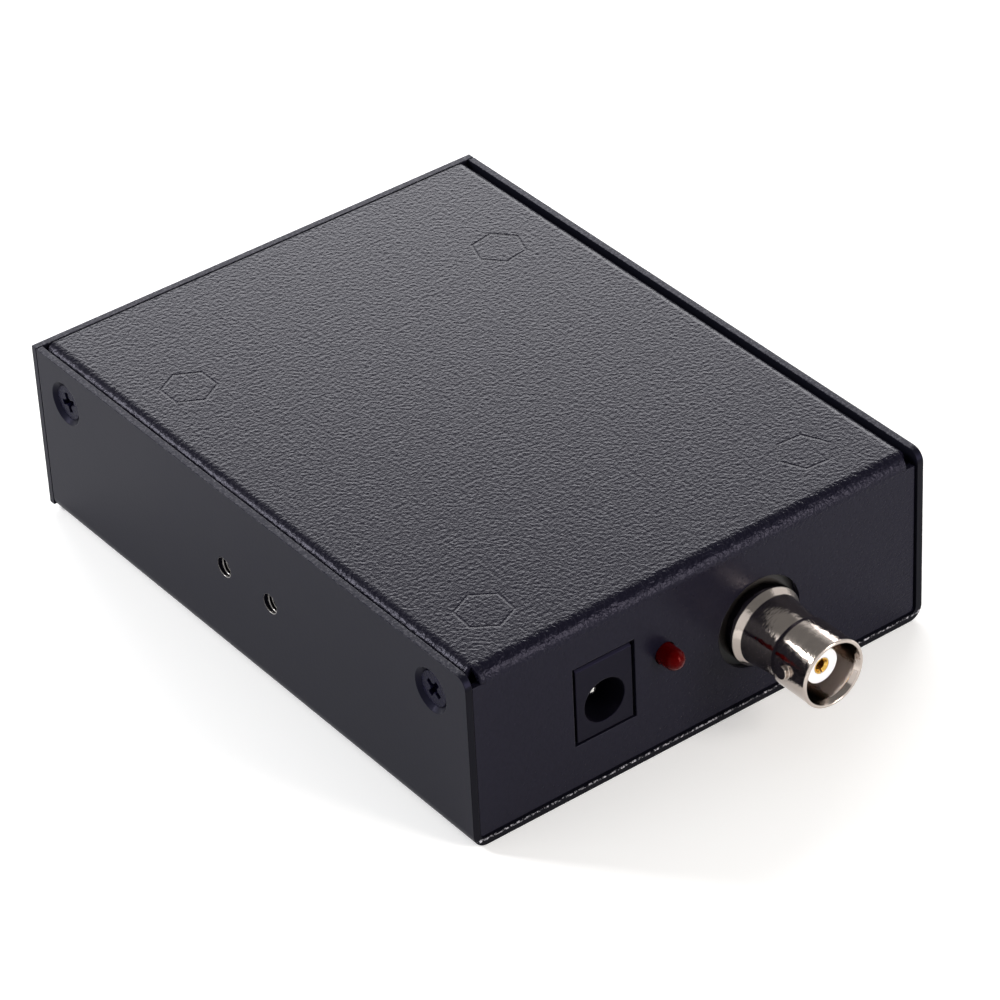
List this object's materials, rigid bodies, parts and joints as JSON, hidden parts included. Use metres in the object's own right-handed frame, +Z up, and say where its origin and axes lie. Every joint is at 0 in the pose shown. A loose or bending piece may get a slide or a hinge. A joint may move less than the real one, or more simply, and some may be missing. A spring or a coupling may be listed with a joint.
{
  "type": "sdi to hdmi converter",
  "caption": "Flat folded-steel box that turns a coaxial video signal into a digital display output, with a bayonet coax socket, power jack, indicator and rear outlet.",
  "frame": {"origin": "middle of the case's underside", "axes": "+Z up out of the top plate, -Y out of the connector panel, -X out of the side with two tapped holes"},
  "size_m": [0.075, 0.1124, 0.027],
  "materials": {
    "satin_black_steel": "smooth satin black powder coat",
    "grained_black_steel": "coarse leather-grain black powder coat",
    "black_screw_steel": "black zinc plated steel",
    "green_laminate": "glossy solder mask on glass-epoxy laminate",
    "plated_steel": "tin or zinc plated",
    "nickel_plated": "bright nickel plate",
    "white_ptfe": "waxy white PTFE",
    "gold_plated": "thin gold plate",
    "black_plastic": "moulded black, fine texture",
    "red_lens": "translucent red epoxy",
    "chip_epoxy": "moulded black epoxy",
    "ferrite": "dark grey ferrite",
    "can_aluminium": "drawn aluminium can",
    "tan_ceramic": "tan ceramic"
  },
  "bodies": {
    "root": {"lower_tray": "satin_black_steel", "top_chassis": "grained_black_steel", "board_standoffs": "grained_black_steel", "case_screws": "black_screw_steel", "circuit_board": "green_laminate", "board_screws": "plated_steel", "bnc_shell": "nickel_plated", "bnc_insulator": "white_ptfe", "bnc_centre_contact": "gold_plated", "bnc_housing": "black_plastic", "bnc_ground_posts": "plated_steel", "jack_body": "black_plastic", "jack_centre_pin": "nickel_plated", "jack_pin_terminal": "plated_steel", "jack_sleeve_spring": "gold_plated", "jack_switch_contact": "plated_steel", "led_lens": "red_lens", "led_leads": "plated_steel", "outlet_shell": "plated_steel", "outlet_tongue": "black_plastic", "outlet_contacts": "gold_plated", "video_processor": "chip_epoxy", "output_transmitter": "chip_epoxy", "cable_equaliser": "chip_epoxy", "configuration_memory": "chip_epoxy", "buck_regulator": "chip_epoxy", "core_regulators": "chip_epoxy", "power_inductor": "ferrite", "reservoir_cans": "can_aluminium", "reservoir_bases": "black_plastic", "polarity_diode": "chip_epoxy", "resettable_fuse": "green_laminate", "crystal": "can_aluminium", "ceramic_capacitors": "tan_ceramic", "chip_resistors": "chip_epoxy"}
  },
  "joints": []
}
